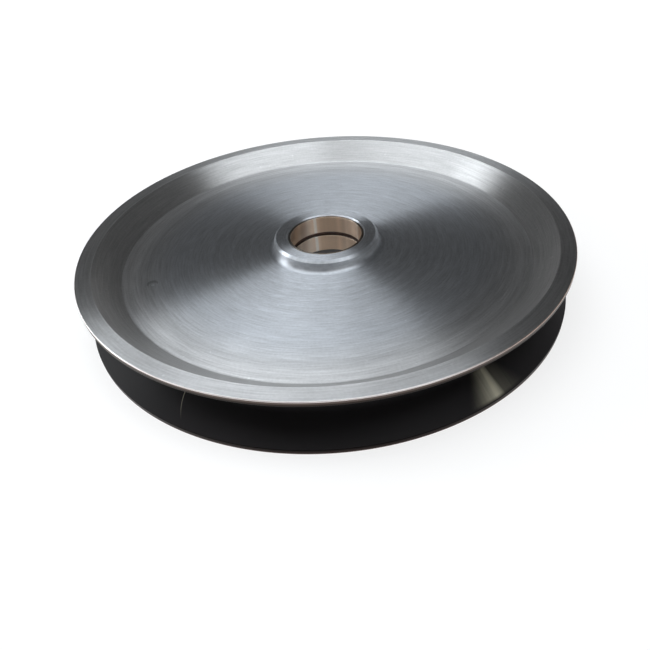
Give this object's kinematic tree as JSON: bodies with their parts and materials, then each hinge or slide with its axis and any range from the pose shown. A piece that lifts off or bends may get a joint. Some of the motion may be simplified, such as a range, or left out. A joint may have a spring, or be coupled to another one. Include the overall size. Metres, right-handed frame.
{
  "type": "wire rope sheave",
  "caption": "Turned steel sheave for wire rope: a V groove round the rim, dished sides, a thin web and a short hub with bronze bushes for a shaft.",
  "frame": {"origin": "centre of the bore, in the middle plane of the rim", "axes": "+Z along the bore's axis; the sheave lies flat on its lower rim face and is the same on both sides"},
  "size_m": [0.5, 0.5, 0.06],
  "materials": {
    "turned_steel": "bright turned, with fine circular tool marks",
    "bush_bronze": "smooth bored bronze"
  },
  "bodies": {
    "root": {"sheave_body": "turned_steel", "upper_bush": "bush_bronze", "lower_bush": "bush_bronze"}
  },
  "joints": []
}
